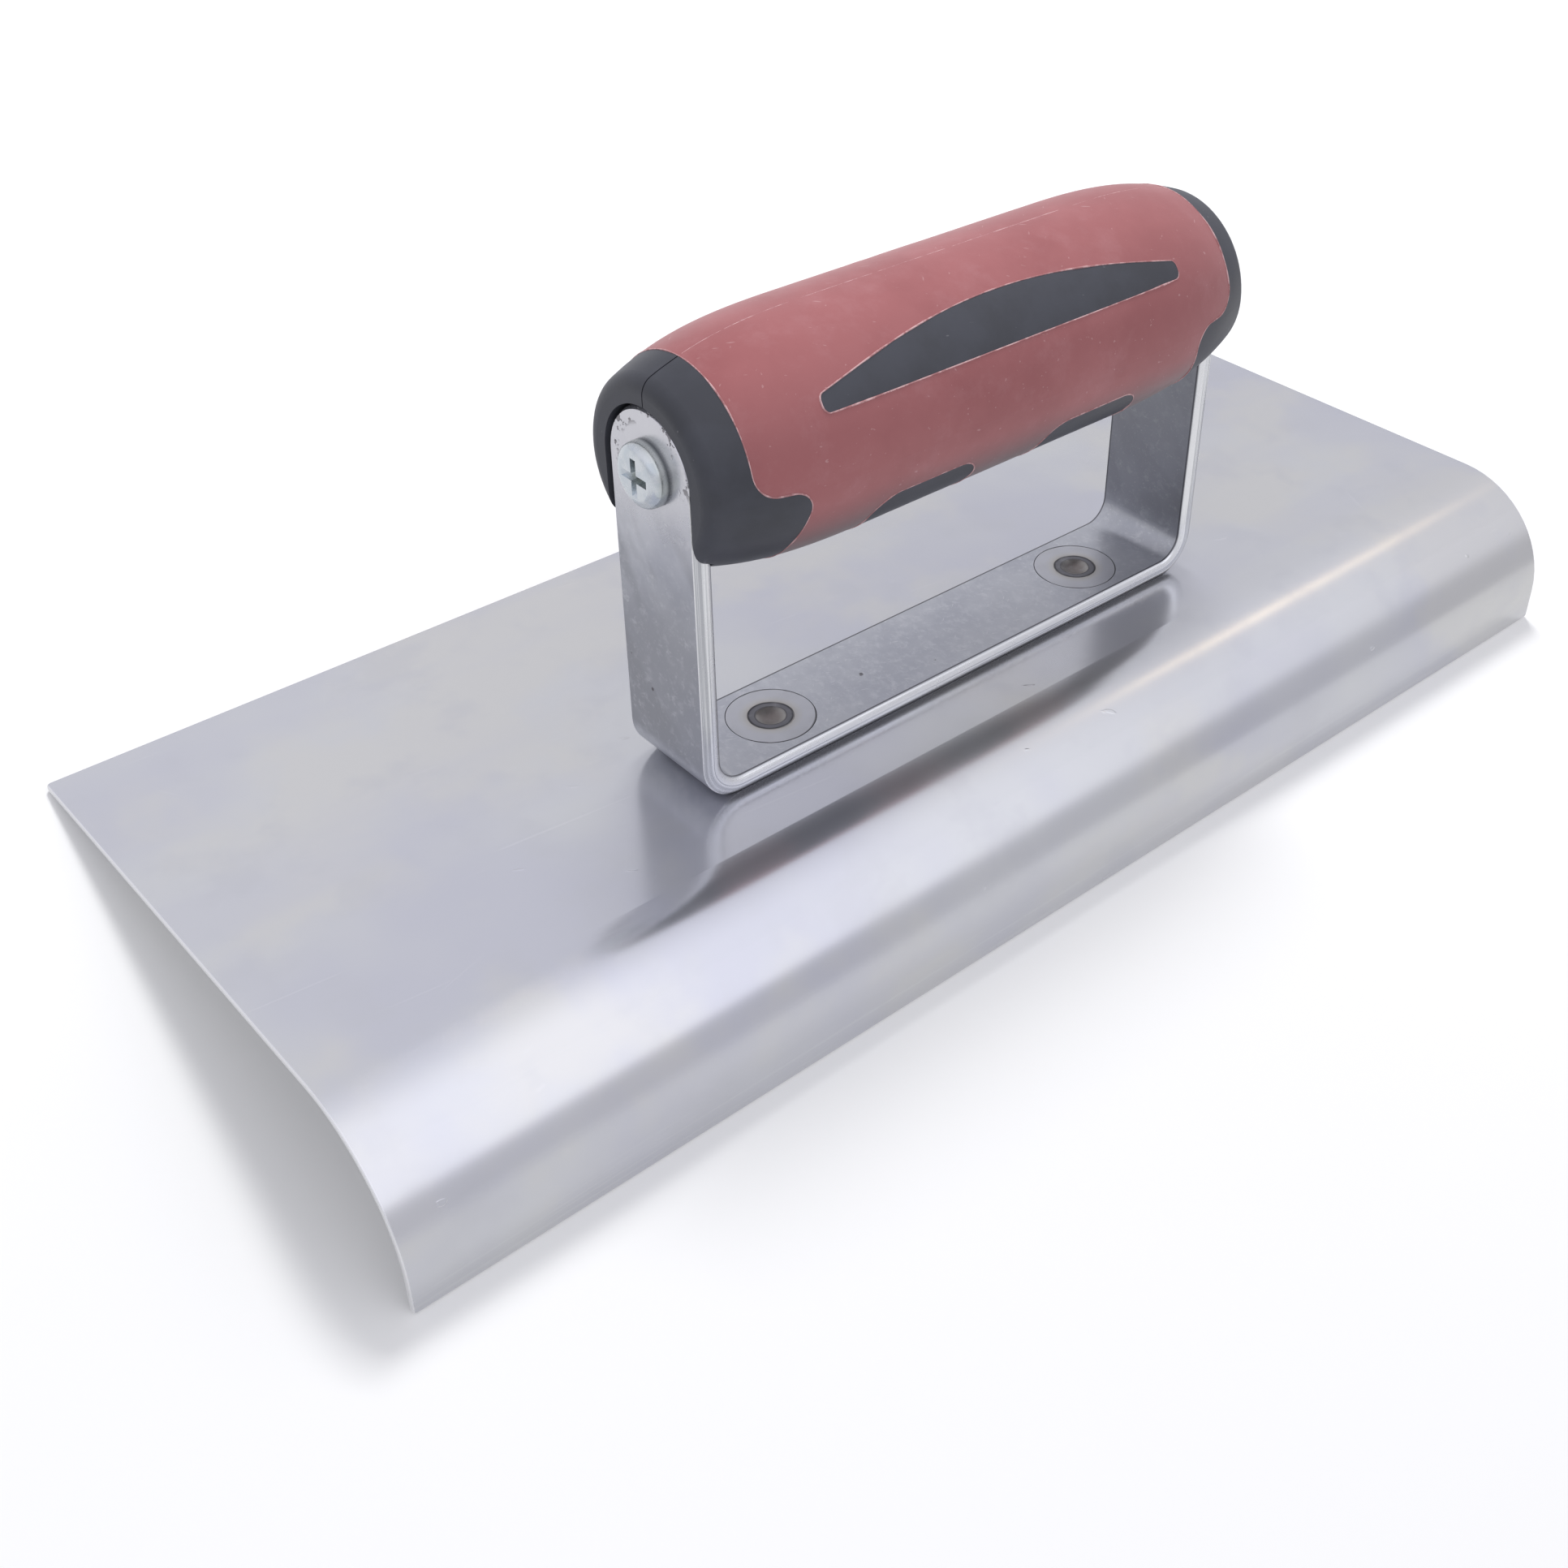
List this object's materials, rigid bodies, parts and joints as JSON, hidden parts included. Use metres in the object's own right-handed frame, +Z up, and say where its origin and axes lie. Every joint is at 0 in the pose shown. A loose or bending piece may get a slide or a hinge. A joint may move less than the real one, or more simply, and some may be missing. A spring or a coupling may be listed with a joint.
{
  "type": "concrete edging trowel",
  "caption": "Hand edging trowel: long steel blade with a rounded turned-down lip, strap bracket and soft two-material grip.",
  "frame": {"origin": "on the working face under the blade, at mid length, straight below the handle's centre line", "axes": "+X along the blade, +Y towards the straight back edge, +Z up from the working face to the handle; the lip hangs on the -Y side"},
  "size_m": [0.254, 0.1016, 0.0979],
  "materials": {
    "blade_steel": "satin stainless sheet with fine scratches",
    "bracket_steel": "dull mill finish strap, rubbed bright on its edges",
    "stud_steel": "ground steel with a light heat tint",
    "zinc_steel": "bright zinc plate",
    "grip_rubber": "matte brick red soft rubber",
    "core_plastic": "charcoal satin plastic",
    "brass": "machined brass"
  },
  "bodies": {
    "root": {"blade": "blade_steel", "handle_bracket": "bracket_steel", "grip_sleeve": "grip_rubber", "front_core_half": "core_plastic", "rear_core_half": "core_plastic", "left_stud": "stud_steel", "right_stud": "stud_steel", "left_stud_washer": "stud_steel", "right_stud_washer": "stud_steel", "left_screw": "zinc_steel", "right_screw": "zinc_steel", "left_threaded_insert": "brass", "right_threaded_insert": "brass"}
  },
  "joints": []
}
